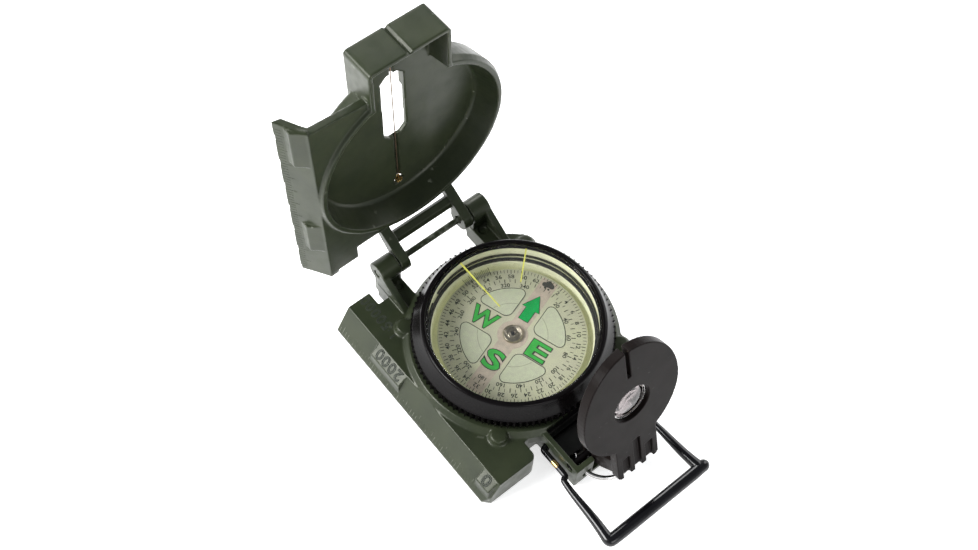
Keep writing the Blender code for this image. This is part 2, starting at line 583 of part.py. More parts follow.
def make_cover(parts, tools, hinge, green, dark, brass):
    centre = (0, -CUP_REACH)
    bead = FLANGE_FACE - CUP_BEAD
    profile = [(0, COVER_BACK), (CUP_BACK_RADIUS - 0.8, COVER_BACK),
               (CUP_BACK_RADIUS, COVER_BACK - 0.8), (CUP_RADIUS, FLANGE_FACE + 0.6),
               (CUP_RADIUS - 0.3, FLANGE_FACE), (CUP_RADIUS - 0.7, bead), (0, bead)]
    cover = turned("cover_casting", profile, parts, hinge, centre, steps=96)
    boolean(cover, "UNION", *cover_blanks(hinge, tools))
    hollow = turned("cup_hollow", [(0, CUP_FLOOR), (CUP_FLOOR_RADIUS - 0.6, CUP_FLOOR),
                                   (CUP_FLOOR_RADIUS, CUP_FLOOR - 0.6),
                                   (CUP_RIM_INNER, bead - 0.1), (CUP_RIM_INNER, 0),
                                   (0, 0)], tools, hinge, centre, steps=96)
    inner = BOX_HALF - BOX_WALL
    room = box("box_hollow", (-inner, inner), (-BOX_END + BOX_WALL, -44), (0, CUP_FLOOR), tools,
               hinge)
    left, right, cut = SLOT_X - SLOT_HALF, SLOT_X + SLOT_HALF, SLOT_CHAMFER
    slot = [(left, -SLOT_START - cut), (left + cut, -SLOT_START), (right - cut, -SLOT_START),
            (right, -SLOT_START - cut), (right, -SLOT_END + cut), (right - cut, -SLOT_END),
            (left + cut, -SLOT_END), (left, -SLOT_END + cut)]
    window = outline_solid("sight_slot", slot, CUP_FLOOR - 3, COVER_BACK + 3, tools, hinge)
    groove = box("wire_groove", (SLOT_X - 0.55, SLOT_X + 0.55), (-SLOT_START - 1, -ANCHOR_REACH),
                 (CUP_FLOOR - 1, CUP_FLOOR + 0.75), tools, hinge)
    top_groove = box("top_groove", (SLOT_X - 0.45, SLOT_X + 0.45), (-SLOT_END - 4.2, -SLOT_END + 1),
                     (CUP_FLOOR - 1, CUP_FLOOR + 0.75), tools, hinge)
    recess = rod("anchor_recess", (SLOT_X, -ANCHOR_REACH, CUP_FLOOR), 1.6, 1.0, "Z", tools, hinge,
                 sides=20)
    bore = rod("anchor_bore", (SLOT_X, -ANCHOR_REACH, CUP_FLOOR), ANCHOR_RADIUS + GAP, 8, "Z", tools,
               hinge, sides=16)
    notch = rod("sight_notch", (0, -BOX_END, 9), 0.75, 12, "Z", tools, hinge, sides=4)
    pin_bore = rod("ear_bore", (0, 0, 0), HINGE_PIN_RADIUS + GAP, 40, "X", tools, hinge, sides=16)
    boolean(cover, "DIFFERENCE", hollow, room, window, groove, top_groove, recess, bore, notch,
            pin_bore)
    paint(cover, green)
    wire_height = CUP_FLOOR + 0.4
    strand = wire("sighting_wire", [(SLOT_X, -SLOT_END - 3.8, wire_height),
                                    (SLOT_X, -ANCHOR_REACH - ANCHOR_RADIUS - 0.25, wire_height)],
                  WIRE_RADIUS, parts, hinge, resolution=1)
    paint(strand, dark)
    pin = turned("wire_anchor_pin", [(0, CUP_FLOOR + 0.1), (0.5, CUP_FLOOR + 0.05),
                                     (ANCHOR_RADIUS, CUP_FLOOR - 0.2 + 0.1),
                                     (ANCHOR_RADIUS, COVER_BACK - 0.1), (0, COVER_BACK - 0.1)][::-1],
                 parts, hinge, (SLOT_X, -ANCHOR_REACH), steps=16)
    paint(pin, brass)
    axle = rod("cover_hinge_pin", (0, 0, 0), HINGE_PIN_RADIUS, 2 * KNUCKLE_OUTER - 0.4, "X",
               parts, hinge, sides=16)
    paint(axle, dark)


def bracket_outline():
    """The plate's outline: an oval disc on a neck."""
    points = []
    start = math.degrees(math.asin(NECK_HALF / DISC_HALF))
    count = 72
    for step in range(count + 1):
        angle = math.radians(-90 + start + (360 - 2 * start) * step / count)
        height = DISC_HIGH if math.sin(angle) > 0 else DISC_LOW
        points.append((DISC_HALF * math.cos(angle), LENS_CENTRE + height * math.sin(angle)))
    corner = 0.8
    return points + [(-NECK_HALF, FOOT_LOW + corner), (corner - NECK_HALF, FOOT_LOW),
                     (NECK_HALF - corner, FOOT_LOW), (NECK_HALF, FOOT_LOW + corner)]


def make_bracket(parts, tools, hinge, black, glass, dark):
    back = BRACKET_RISE - BRACKET_THICK / 2
    front = BRACKET_RISE + BRACKET_THICK / 2
    bracket = outline_solid("lens_bracket", bracket_outline(), back, front, parts, hinge)
    lug = arc((0, 0), 2.2, 160, 380, 12)
    lug += [(6.2, 8.4), (9.8, back + 0.5), (FOOT_LOW + 0.4, back + 0.5), (1.2, 8.4), (-1.6, 4.0)]
    foot = outline_solid("lug_blank", lug, -LUG_HALF, LUG_HALF, tools, hinge, "YZ")
    boolean(bracket, "UNION", foot)
    cuts = [rod("lens_seat", (0, LENS_CENTRE, BRACKET_RISE), LENS_SEAT_RADIUS, 8, "Z", tools,
                hinge, sides=48),
            box("sight_slit", (-0.5, 0.5), (LENS_CENTRE + SLIT_LOW, LENS_CENTRE + 30), (0, 30), tools,
                hinge),
            box("comb_middle", (-1.0, 1.0), (-10, COMB_MIDDLE_TOP), (back + COMB_WEB, 30), tools,
                hinge),
            rod("lug_bore", (0, 0, 0), BRACKET_PIN_RADIUS + GAP, 40, "X", tools, hinge, sides=16)]
    for side in (-1, 1):
        label = "left" if side < 0 else "right"
        span = sorted((side * 2.3, side * 4.4))
        cuts.append(box(f"comb_{label}", span, (-10, COMB_SIDE_TOP), (back + COMB_WEB, 30),
                        tools, hinge))
    boolean(bracket, "DIFFERENCE", *cuts)
    paint(bracket, black)
    lens = turned("magnifier_lens", [(0, BRACKET_RISE + 0.85), (1.6, BRACKET_RISE + 0.72),
                                     (3.2, BRACKET_RISE + 0.35), (LENS_RADIUS, BRACKET_RISE - 0.1),
                                     (LENS_RADIUS, BRACKET_RISE - 0.6), (0, BRACKET_RISE - 0.6)],
                  parts, hinge, (0, LENS_CENTRE), steps=40)
    paint(lens, glass)
    pin = rod("lens_hinge_pin", (-BRACKET_SHIFT, 0, 0), BRACKET_PIN_RADIUS,
              2 * TONGUE_HALF - 0.2, "X", parts, hinge, sides=16)
    paint(pin, dark)


def make_loop(parts, black):
    """A wire bail with legs that step outwards behind the tongue and thicken to the crossbar.

    The crossbar reaches a little further past the right leg than past the left one.
    """
    kink = LOOP_KINK_Y - LOOP_Y
    end = LOOP_END_Y - LOOP_Y
    outer = LOOP_CORNER
    half = [(8.8, 0, LOOP_WIRE), (LOOP_LEG - 0.8, 0, LOOP_WIRE),
            (LOOP_LEG - 0.2, -0.3, LOOP_WIRE), (LOOP_LEG, -1.0, LOOP_WIRE),
            (LOOP_LEG, kink + 1.0, LOOP_WIRE), (LOOP_LEG + 1.1, kink - 0.8, LOOP_WIRE),
            (LOOP_LEG + 1.55, kink - 4.0, 0.9), (LOOP_LEG + 1.75, end + 6.4, 1.15),
            (outer - 0.3, end + 2.6, 1.3), (outer, end + 1.2, 1.4),
            (outer - 0.2, end + 0.35, 1.5), (outer - 1.1, end, LOOP_BAR)]
    route = [(-x, y, 0) for x, y, _ in half]
    for x, y, _ in reversed(half):
        flare = LOOP_FLARE if y < end + 2.0 else 0
        route.append((x + flare, y, 0))
    radii = [radius for _, _, radius in half]
    loop = wire("thumb_loop", route, LOOP_WIRE, parts, radii=radii + radii[::-1])
    loop.location = (0, LOOP_Y * MM, LOOP_Z * MM)
    paint(loop, black)


def make_lanyard_ring(parts, steel):
    """A round ring through both halves of the tongue's rear wall."""
    sides = 48
    route = [(x, y, 0) for x, y in arc((0, 0), RING_RADIUS, 0, 360 - 360 / sides, sides - 1)]
    ring = wire("lanyard_ring", route, RING_WIRE, parts, cyclic=True)
    ring.location = (0, RING_Y * MM, RING_Z * MM)
    paint(ring, steel)


def main():
    clear_scene()
    parts = new_collection("sighting_compass")
    tools = new_collection("cutters")
    green = material("green_paint", GREEN_PAINT)
    black = material("black_plastic", BLACK_PLASTIC)
    lacquer = material("black_lacquer", BLACK_LACQUER)
    cream = material("cream_plastic", CREAM_PLASTIC)
    glass = material("clear_glass", CLEAR_GLASS)
    luminous = material("luminous_line", LUMINOUS)
    brass = material("brass", BRASS)
    steel = material("steel", STEEL)
    rubber = material("rubber", RUBBER)
    dark = material("dark_steel", DARK_STEEL)
    cover_hinge = hinge_empty("cover_hinge", (0, HINGE_Y, HINGE_Z), -COVER_OPEN_DEG, parts)
    bracket_place = (BRACKET_SHIFT, BRACKET_Y, BRACKET_Z)
    bracket_hinge = hinge_empty("bracket_hinge", bracket_place, BRACKET_LEAN_DEG, parts)
    make_base(parts, tools, green)
    make_feet(parts, rubber)
    make_capsule(parts, cream, glass, steel, rubber, dark)
    make_card(parts, cream, steel, brass)
    make_bezel(parts, tools, black, glass, luminous)
    make_cover(parts, tools, cover_hinge, green, dark, brass)
    make_bracket(parts, tools, bracket_hinge, black, glass, dark)
    make_loop(parts, lacquer)
    make_lanyard_ring(parts, steel)


main()
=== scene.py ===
import json
import math

import bmesh
import bpy
from mathutils import Matrix, Vector


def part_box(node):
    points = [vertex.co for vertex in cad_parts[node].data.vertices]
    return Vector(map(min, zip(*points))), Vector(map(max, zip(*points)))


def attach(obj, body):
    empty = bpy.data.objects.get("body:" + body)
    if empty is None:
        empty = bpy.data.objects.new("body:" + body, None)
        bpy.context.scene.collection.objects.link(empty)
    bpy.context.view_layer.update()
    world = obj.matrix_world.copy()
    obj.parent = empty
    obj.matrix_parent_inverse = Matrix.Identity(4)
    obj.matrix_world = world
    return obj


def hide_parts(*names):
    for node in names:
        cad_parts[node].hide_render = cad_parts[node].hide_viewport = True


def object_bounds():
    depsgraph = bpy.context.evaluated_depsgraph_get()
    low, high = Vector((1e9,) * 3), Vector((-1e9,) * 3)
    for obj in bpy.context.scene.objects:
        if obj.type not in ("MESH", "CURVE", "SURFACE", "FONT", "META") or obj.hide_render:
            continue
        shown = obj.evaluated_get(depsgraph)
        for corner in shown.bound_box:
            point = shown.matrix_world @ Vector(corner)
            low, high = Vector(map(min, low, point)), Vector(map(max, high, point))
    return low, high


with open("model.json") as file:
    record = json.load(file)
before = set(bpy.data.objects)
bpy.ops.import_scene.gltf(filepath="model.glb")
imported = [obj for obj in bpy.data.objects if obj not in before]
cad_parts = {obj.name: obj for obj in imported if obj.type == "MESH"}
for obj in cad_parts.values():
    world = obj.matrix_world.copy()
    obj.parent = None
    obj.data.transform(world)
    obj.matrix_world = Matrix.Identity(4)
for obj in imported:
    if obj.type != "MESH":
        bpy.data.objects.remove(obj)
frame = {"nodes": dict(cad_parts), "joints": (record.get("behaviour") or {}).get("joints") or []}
cad_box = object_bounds()

MM = 0.001
JOINTS = {joint["name"]: joint for joint in frame["joints"]}

# Places on the base, in millimetres
PLATE_TOP = 8.0
RULER_EDGE = -30.1
RULER_EDGE_HEIGHT = 0.9
BEVEL_TOP = -26.15
PAD_FOOT = (-28.95, 5.75)
CARD_TOP = 9.2
CARD_RADIUS = 18.1
CARD_HEADING_DEG = 72.0
BEZEL_TEETH = 102
RING_RADIUS = 7.15

# Two opposite corners of the tongue's well, whose inside gets painted shade: the green paint there is
# made near black
WELL_SHADE_CORNERS = ((-9.35, -35.2, 1.4), (9.35, -23.4, 8.25))

# Where a golden spot shows on the thumb loop's left leg
RUBBED_PLACE = (-12.2, -30.2, 4.9)

# Marks along both ruler edges: where they start, how long they are and how wide
TICK_START = 0.4
TICK_SHORT = 1.5
TICK_LONG = 2.6
TICK_WIDTH = 0.14

# The cover's wing with the cover shut: (x, height above the hinge) of its free edge and its root
WING_EDGE = (-30.1, 12.4)
WING_ROOT = (-25.8, 5.66)

# From the bracket's hinge to the middle of the lens
LENS_REACH = 28.2

# Camera
CAMERA_PLACE = (-0.0996, -0.0996, 0.2927)
CAMERA_AZIMUTH = -42.93
CAMERA_ELEVATION = 61.06
CAMERA_ROLL = 4.25
CAMERA_LENS = 48.5
CAMERA_SHIFT = -0.007


def joint_place(name):
    return Vector(JOINTS[name]["pos_m"])


# The cover's and the bracket's pieces are drawn shut, and these matrices bring them to rest
COVER_PLACE = Matrix.Translation(joint_place("cover_hinge")) @ Matrix.Rotation(
    math.radians(JOINTS["cover_hinge"]["range_deg"][0]), 4, "X"
)
LENS_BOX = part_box("magnifier_lens")
BRACKET_SHIFT = Matrix.Translation(((LENS_BOX[0][0] + LENS_BOX[1][0]) / 2, 0, 0))
BRACKET_PLACE = BRACKET_SHIFT @ Matrix.Translation(joint_place("bracket_hinge")) @ Matrix.Rotation(
    -math.radians(JOINTS["bracket_hinge"]["range_deg"][0]), 4, "X"
)


# ---------------------------------------------------------------- materials

class Look:
    """A Principled material with procedural colour, roughness and bump."""

    def __init__(self, name, colour, roughness, metallic=0.0, specular=0.5):
        self.material = bpy.data.materials.new(name)
        self.material.use_nodes = True
        self.nodes = self.material.node_tree.nodes
        self.links = self.material.node_tree.links
        self.shader = self.nodes["Principled BSDF"]
        self.set("Base Color", (*colour, 1.0))
        self.set("Roughness", roughness)
        self.set("Metallic", metallic)
        self.set("Specular IOR Level", specular)
        self.place = self.nodes.new("ShaderNodeTexCoord").outputs["Object"]
        self.colour = colour

    def set(self, socket, value):
        self.shader.inputs[socket].default_value = value

    def noise(self, size_mm, detail=3.0, stretch=(1, 1, 1)):
        """Noise whose features are about this many millimetres across."""
        mapping = self.nodes.new("ShaderNodeMapping")
        mapping.inputs["Scale"].default_value = stretch
        texture = self.nodes.new("ShaderNodeTexNoise")
        texture.inputs["Scale"].default_value = 1.0 / (size_mm * MM)
        texture.inputs["Detail"].default_value = detail
        self.links.new(self.place, mapping.inputs["Vector"])
        self.links.new(mapping.outputs["Vector"], texture.inputs["Vector"])
        return texture.outputs["Fac"]

    def ramp(self, value, low, high, start=0.35, end=0.65):
        ramp = self.nodes.new("ShaderNodeValToRGB")
        ramp.color_ramp.elements[0].position = start
        ramp.color_ramp.elements[1].position = end
        ramp.color_ramp.elements[0].color = (*low, 1.0)
        ramp.color_ramp.elements[1].color = (*high, 1.0)
        self.links.new(value, ramp.inputs["Fac"])
        return ramp.outputs["Color"]

    def vary_colour(self, size_mm, spread, tint=(1, 1, 1)):
        low = tuple(c * (1 - spread) for c in self.colour)
        high = tuple(c * (1 + spread) * t for c, t in zip(self.colour, tint))
        self.mixed = self.ramp(self.noise(size_mm), low, high)
        self.links.new(self.mixed, self.shader.inputs["Base Color"])
        return self

    def vary_roughness(self, size_mm, low, high):
        grain = self.ramp(self.noise(size_mm), (low,) * 3, (high,) * 3)
        self.links.new(grain, self.shader.inputs["Roughness"])
        return self

    def bump(self, size_mm, depth_mm, detail=3.0, stretch=(1, 1, 1)):
        bump = self.nodes.new("ShaderNodeBump")
        bump.inputs["Strength"].default_value = 1.0
        bump.inputs["Distance"].default_value = depth_mm * MM
        self.links.new(self.noise(size_mm, detail, stretch), bump.inputs["Height"])
        self.links.new(bump.outputs["Normal"], self.shader.inputs["Normal"])
        return self

    def wear(self, worn, start=0.53, end=0.6):
        """A worn colour along the sharp outer edges, broken up by noise."""
        patch_mm = 1.6
        black, white = (0, 0, 0), (1, 1, 1)
        geometry = self.nodes.new("ShaderNodeNewGeometry")
        edge = self.ramp(geometry.outputs["Pointiness"], black, white, start, end)
        patches = self.ramp(self.noise(patch_mm), black, white, 0.42, 0.62)
        both = self.nodes.new("ShaderNodeMix")
        both.data_type = "RGBA"
        both.blend_type = "MULTIPLY"
        both.inputs["Factor"].default_value = 1.0
        self.links.new(edge, both.inputs["A"])
        self.links.new(patches, both.inputs["B"])
        mix = self.nodes.new("ShaderNodeMix")
        mix.data_type = "RGBA"
        self.links.new(both.outputs["Result"], mix.inputs["Factor"])
        self.links.new(self.mixed, mix.inputs["A"])
        mix.inputs["B"].default_value = (*worn, 1.0)
        self.links.new(mix.outputs["Result"], self.shader.inputs["Base Color"])
        return self

    def rubbed_spot(self, place, reach_mm, metal):
        """Bare metal where the coat is rubbed through, about one point of the object."""
        gap = self.nodes.new("ShaderNodeVectorMath")
        gap.operation = "DISTANCE"
        gap.inputs[1].default_value = tuple(value * MM for value in place)
        self.links.new(self.place, gap.inputs[0])
        inside = self.nodes.new("ShaderNodeMapRange")
        inside.inputs["From Min"].default_value = reach_mm * MM
        inside.inputs["From Max"].default_value = reach_mm * MM * 0.6
        self.links.new(gap.outputs["Value"], inside.inputs["Value"])
        mix = self.nodes.new("ShaderNodeMix")
        mix.data_type = "RGBA"
        self.links.new(inside.outputs["Result"], mix.inputs["Factor"])
        self.links.new(self.mixed, mix.inputs["A"])
        mix.inputs["B"].default_value = (*metal, 1.0)
        self.links.new(mix.outputs["Result"], self.shader.inputs["Base Color"])
        self.links.new(inside.outputs["Result"], self.shader.inputs["Metallic"])
        return self

    def shade_box(self, low, high, dark):
        """Paints shade: darkens the paint inside one box of the object, given by two corners in
        millimetres.
        """
        axes = self.nodes.new("ShaderNodeSeparateXYZ")
        self.links.new(self.place, axes.inputs["Vector"])
        inside = None
        for axis, least, most in zip("XYZ", low, high):
            for limit, operation in ((least, "GREATER_THAN"), (most, "LESS_THAN")):
                test = self.nodes.new("ShaderNodeMath")
                test.operation = operation
                test.inputs[1].default_value = limit * MM
                self.links.new(axes.outputs[axis], test.inputs[0])
                both = self.nodes.new("ShaderNodeMath")
                both.operation = "MULTIPLY"
                both.inputs[1].default_value = 1.0
                self.links.new(test.outputs["Value"], both.inputs[0])
                if inside:
                    self.links.new(inside, both.inputs[1])
                inside = both.outputs["Value"]
        mix = self.nodes.new("ShaderNodeMix")
        mix.data_type = "RGBA"
        self.links.new(inside, mix.inputs["Factor"])
        self.links.new(self.shader.inputs["Base Color"].links[0].from_socket, mix.inputs["A"])
        mix.inputs["B"].default_value = (*dark, 1.0)
        self.links.new(mix.outputs["Result"], self.shader.inputs["Base Color"])
        return self

    def done(self):
        return self.material


def green_paint():
    look = Look("green_paint", (0.0225, 0.0295, 0.0155), 0.33, 0.0, 0.3)
    look.vary_colour(7.0, 0.12, (1.04, 1.0, 0.96)).vary_roughness(2.5, 0.28, 0.38)
    look.set("Specular Tint", (1.0, 1.0, 0.92, 1.0))
    look.bump(0.5, 0.007, 4.0)
    look.wear((0.12, 0.13, 0.10))
    # Painted shade: near black paint inside the tongue's deep, shadowed well
    return look.shade_box(*WELL_SHADE_CORNERS, (0.002, 0.002, 0.002)).done()


def black_plastic():
    look = Look("black_plastic", (0.004, 0.0034, 0.0036), 0.18, 0.0, 0.1)
    return look.vary_colour(5.0, 0.15).vary_roughness(6.0, 0.16, 0.24).bump(3.0, 0.003).done()


def bracket_plastic():
    look = Look("bracket_plastic", (0.0075, 0.0055, 0.0050), 0.34, 0.0, 0.05)
    look.vary_colour(6.0, 0.12).vary_roughness(5.0, 0.3, 0.38).bump(0.5, 0.002)
    return look.wear((0.03, 0.028, 0.028), 0.54, 0.64).done()


def black_lacquer():
    look = Look("black_lacquer", (0.004, 0.004, 0.005), 0.16, 0.0, 0.4)
    look.vary_colour(4.0, 0.2).vary_roughness(3.0, 0.13, 0.2).bump(1.6, 0.008)
    return look.rubbed_spot(RUBBED_PLACE, 1.1, (0.50, 0.34, 0.13)).done()


def cream_plastic():
    look = Look("cream_plastic", (0.76, 0.77, 0.55), 0.3)
    # Painted light: the cream plastic glows faintly, brightening the capsule's inner wall where the
    # bezel's lip shades it
    look.set("Emission Color", (0.80, 0.82, 0.50, 1.0))
    look.set("Emission Strength", 0.14)
    look.vary_colour(6.0, 0.05).vary_roughness(3.0, 0.25, 0.38).bump(0.6, 0.006)
    return look.done()


def card_face():
    look = Look("card_face", (0.62, 0.62, 0.45), 0.5)
    look.vary_colour(3.5, 0.04, (0.98, 1.0, 0.94)).vary_roughness(2.0, 0.42, 0.55)
    return look.bump(0.2, 0.004).done()


def luminous_lobe():
    look = Look("luminous_lobe", (0.60, 0.63, 0.46), 0.6)
    return look.vary_colour(1.2, 0.05, (0.97, 1.0, 0.95)).bump(0.15, 0.01).done()


def ink(name, colour, roughness=0.6):
    look = Look(name, colour, roughness, 0.0, 0.2)
    return look.vary_colour(1.5, 0.1).bump(0.2, 0.002).done()


def bare_metal(name, colour, roughness):
    look = Look(name, colour, roughness, 1.0)
    look.vary_colour(1.5, 0.08).vary_roughness(0.8, roughness * 0.7, roughness * 1.3)
    return look.bump(0.3, 0.004, 2.0, (1, 1, 6)).done()


def cap_metal():
    look = Look("cap_metal", (0.46, 0.41, 0.32), 0.34, 1.0)
    return look.vary_colour(1.5, 0.06).vary_roughness(1.5, 0.26, 0.34).bump(2.0, 0.003).done()


def rubber():
    look = Look("rubber", (0.02, 0.02, 0.02), 0.8)
    return look.vary_colour(1.0, 0.2).bump(0.25, 0.02).done()


def luminous_line():
    look = Look("luminous_line", (0.82, 0.82, 0.16), 0.5)
    look.vary_colour(1.0, 0.06).bump(0.2, 0.004)
    look.set("Alpha", 0.75)
    return look.done()


def window_glass(name, least, most):
    """Thin clear glass, which reflects more at a low angle, by the fifth power of Schlick's rule."""
    look = Look(name, (1.0, 1.0, 1.0), 0.02, 1.0)
    weight = look.nodes.new("ShaderNodeLayerWeight")
    weight.inputs["Blend"].default_value = 0.5
    power = look.nodes.new("ShaderNodeMath")
    power.operation = "POWER"
    power.inputs[1].default_value = 5.0
    look.links.new(weight.outputs["Facing"], power.inputs[0])
    share = look.nodes.new("ShaderNodeMath")
    share.operation = "MULTIPLY_ADD"
    share.inputs[1].default_value = most - least
    share.inputs[2].default_value = least
    look.links.new(power.outputs["Value"], share.inputs[0])
    look.links.new(share.outputs["Value"], look.shader.inputs["Alpha"])
    look.bump(14.0, 0.01, 1.0)
    return look.done()


def lens_glass():
    look = Look("lens_glass", (0.24, 0.21, 0.21), 0.01, 0.0, 0.3)
    look.set("Transmission Weight", 1.0)
    look.set("IOR", 1.5)
    return look.bump(20.0, 0.004, 1.0).done()


MATERIALS = {
    "green": green_paint(),
    "black": black_plastic(),
    "bracket": bracket_plastic(),
    "lacquer": black_lacquer(),
    "cream": cream_plastic(),
    "card": card_face(),
    "lobe": luminous_lobe(),
    "print": ink("dark_print", (0.05, 0.055, 0.042)),
    "faint": ink("faint_print", (0.30, 0.31, 0.20)),
    "north": ink("north_print", (0.07, 0.07, 0.06)),
    # Painted light and shade: the cast figures' outlines are coloured apart from the paint, standing for
    # the light and shade along their edges
    "engraved": ink("figure_edge_painted_shading", (0.032, 0.038, 0.029), 0.5),
    "bar": ink("bar_print", (0.58, 0.50, 0.40)),
    "letters": ink("green_letters", (0.05, 0.48, 0.07)),
    "arrow": ink("green_arrow", (0.002, 0.42, 0.085)),
    "brass": bare_metal("brass", (0.72, 0.47, 0.16), 0.25),
    "steel": bare_metal("steel", (0.62, 0.61, 0.60), 0.2),
    "dark": bare_metal("dark_steel", (0.07, 0.07, 0.07), 0.35),
    "jewel": cap_metal(),
    "strand": bare_metal("strand_metal", (0.30, 0.22, 0.16), 0.4),
    "rubber": rubber(),
    "line": luminous_line(),
    "glass": window_glass("bezel_window", 0.04, 0.9),
    "inner_glass": window_glass("capsule_window", 0.02, 0.6),
    "lens": lens_glass(),
}


# ---------------------------------------------------------------- mesh tools

def link(name, mesh, made):
    obj = bpy.data.objects.new(name, mesh)
    bpy.context.scene.collection.objects.link(obj)
    mesh.materials.clear()
    mesh.materials.append(made)
    return obj


def to_object(name, shape, made, place=None, smooth_deg=35):
    """A bmesh in millimetres made an object in metres, moved by a matrix."""
    bmesh.ops.scale(shape, vec=(MM, MM, MM), verts=shape.verts)
    if place is not None:
        bmesh.ops.transform(shape, matrix=place, verts=shape.verts)
    mesh = bpy.data.meshes.new(name)
    shape.to_mesh(mesh)
    shape.free()
    mesh.shade_smooth()
    mesh.set_sharp_from_angle(angle=math.radians(smooth_deg))
    return link(name, mesh, made)


def stand_in(piece, body, slot, *nodes):
    """The piece rides on its body and stands for these CAD nodes."""
    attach(piece, body)
    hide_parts(*nodes)
    return piece


def apply_modifiers(obj):
    graph = bpy.context.evaluated_depsgraph_get()
    mesh = bpy.data.meshes.new_from_object(obj.evaluated_get(graph))
    obj.modifiers.clear()
    obj.data = mesh


def cast_skin(name, node, made, voxel_mm, passes, keep):
    """The node's own shape with the small radii that a casting has at every edge."""
    shape = bmesh.new()
    shape.from_mesh(frame["nodes"][node].data)
    bmesh.ops.remove_doubles(shape, verts=shape.verts, dist=1e-6)
    mesh = bpy.data.meshes.new(name)
    shape.to_mesh(mesh)
    shape.free()
    obj = link(name, mesh, made)
    remesh = obj.modifiers.new("Remesh", "REMESH")
    remesh.mode = "VOXEL"
    remesh.voxel_size = voxel_mm * MM * 1.0
    smooth = obj.modifiers.new("Smooth", "SMOOTH")
    smooth.factor = 0.5
    smooth.iterations = passes
    fewer = obj.modifiers.new("Fewer", "DECIMATE")
    fewer.ratio = keep
    apply_modifiers(obj)
    obj.data.shade_smooth()
    return obj


def fillet(points, radius, steps=4, closed=True, least_deg=25):
    """The outline with every real corner rounded."""
    made = []
    count = len(points)
    for index, point in enumerate(points):
        here = Vector(point)
        if not closed and index in (0, count - 1):
            made.append(tuple(here))
            continue
        before = Vector(points[index - 1]) - here
        after = Vector(points[(index + 1) % count]) - here
        turn = math.pi - before.angle(after)
        if math.degrees(turn) < least_deg:
            made.append(tuple(here))
            continue
        reach = min(radius * math.tan(turn / 2), before.length * 0.45, after.length * 0.45)
        start = here + before.normalized() * reach
        end = here + after.normalized() * reach
        for step in range(steps + 1):
            t = step / steps
            spot = start * (1 - t) ** 2 + here * 2 * t * (1 - t) + end * t ** 2
            made.append(tuple(spot))
    return made


def revolve(profile, segments, ripple=None, centre=(0, 0)):
    """A turned mesh from (radius, height) points. A ripple adds to the radius by angle and height."""
    shape = bmesh.new()
    rings = []
    for radius, height in profile:
        if radius < 1e-6:
            rings.append([shape.verts.new((centre[0], centre[1], height))])
            continue
        ring = []
        for step in range(segments):
            angle = math.tau * step / segments
            wide = radius + (ripple(angle, radius, height) if ripple else 0.0)
            ring.append(shape.verts.new((centre[0] + wide * math.cos(angle),
                                         centre[1] + wide * math.sin(angle), height)))
        rings.append(ring)
    loops = list(zip(rings, rings[1:]))
    if len(rings[0]) > 1 and len(rings[-1]) > 1:
        loops.append((rings[-1], rings[0]))
    for upper, lower in loops:
        for step in range(segments):
            follow = (step + 1) % segments
            corners = [upper[step % len(upper)], lower[step % len(lower)],
                       lower[follow % len(lower)], upper[follow % len(upper)]]
            unique = list(dict.fromkeys(corners))
            if len(unique) > 2:
                shape.faces.new(unique)
    bmesh.ops.recalc_face_normals(shape, faces=shape.faces)
    return shape


def prism(outline, low, high):
    """A flat outline given thickness."""
    shape = bmesh.new()
    bottom = [shape.verts.new((x, y, low)) for x, y in outline]
    face = shape.faces.new(bottom)
    raised = bmesh.ops.extrude_face_region(shape, geom=[face])["geom"]
    moved = [item for item in raised if isinstance(item, bmesh.types.BMVert)]
    bmesh.ops.translate(shape, vec=(0, 0, high - low), verts=moved)
    bmesh.ops.recalc_face_normals(shape, faces=shape.faces)
    return shape


def arc(centre, radius, start, end, count):
    points = []
    for step in range(count + 1):
        angle = math.radians(start + (end - start) * step / count)
        points.append((centre[0] + radius * math.cos(angle), centre[1] + radius * math.sin(angle)))
    return points


def add(target, shape, matrix=None):
    """Copies one bmesh into another, moved by a matrix, and frees it."""
    if matrix is not None:
        bmesh.ops.transform(shape, matrix=matrix, verts=shape.verts)
    mesh = bpy.data.meshes.new("copied")
    shape.to_mesh(mesh)
    shape.free()
    target.from_mesh(mesh)
    bpy.data.meshes.remove(mesh)


def strip(path, width, low, high, closed=False):
    """A flat line of even width along a path of points."""
    shape = bmesh.new()
    count = len(path)
    sides = []
    for index, point in enumerate(path):
        here = Vector(point)
        after = Vector(path[(index + 1) % count] if closed or index < count - 1 else point)
        before = Vector(path[index - 1] if closed or index > 0 else point)
        along = (after - before).normalized()
        side = Vector((-along.y, along.x)) * width / 2
        sides.append([shape.verts.new((*(here + side * sign), height))
                      for sign, height in ((1, low), (-1, low), (-1, high), (1, high))])
    pairs = list(zip(sides, sides[1:]))
    if closed:
        pairs.append((sides[-1], sides[0]))
    for start, end in pairs:
        for corner in range(4):
            follow = (corner + 1) % 4
            shape.faces.new((start[corner], start[follow], end[follow], end[corner]))
    if not closed:
        shape.faces.new(sides[0][::-1])
        shape.faces.new(sides[-1])
    bmesh.ops.recalc_face_normals(shape, faces=shape.faces)
    return shape


TEXTS = {}


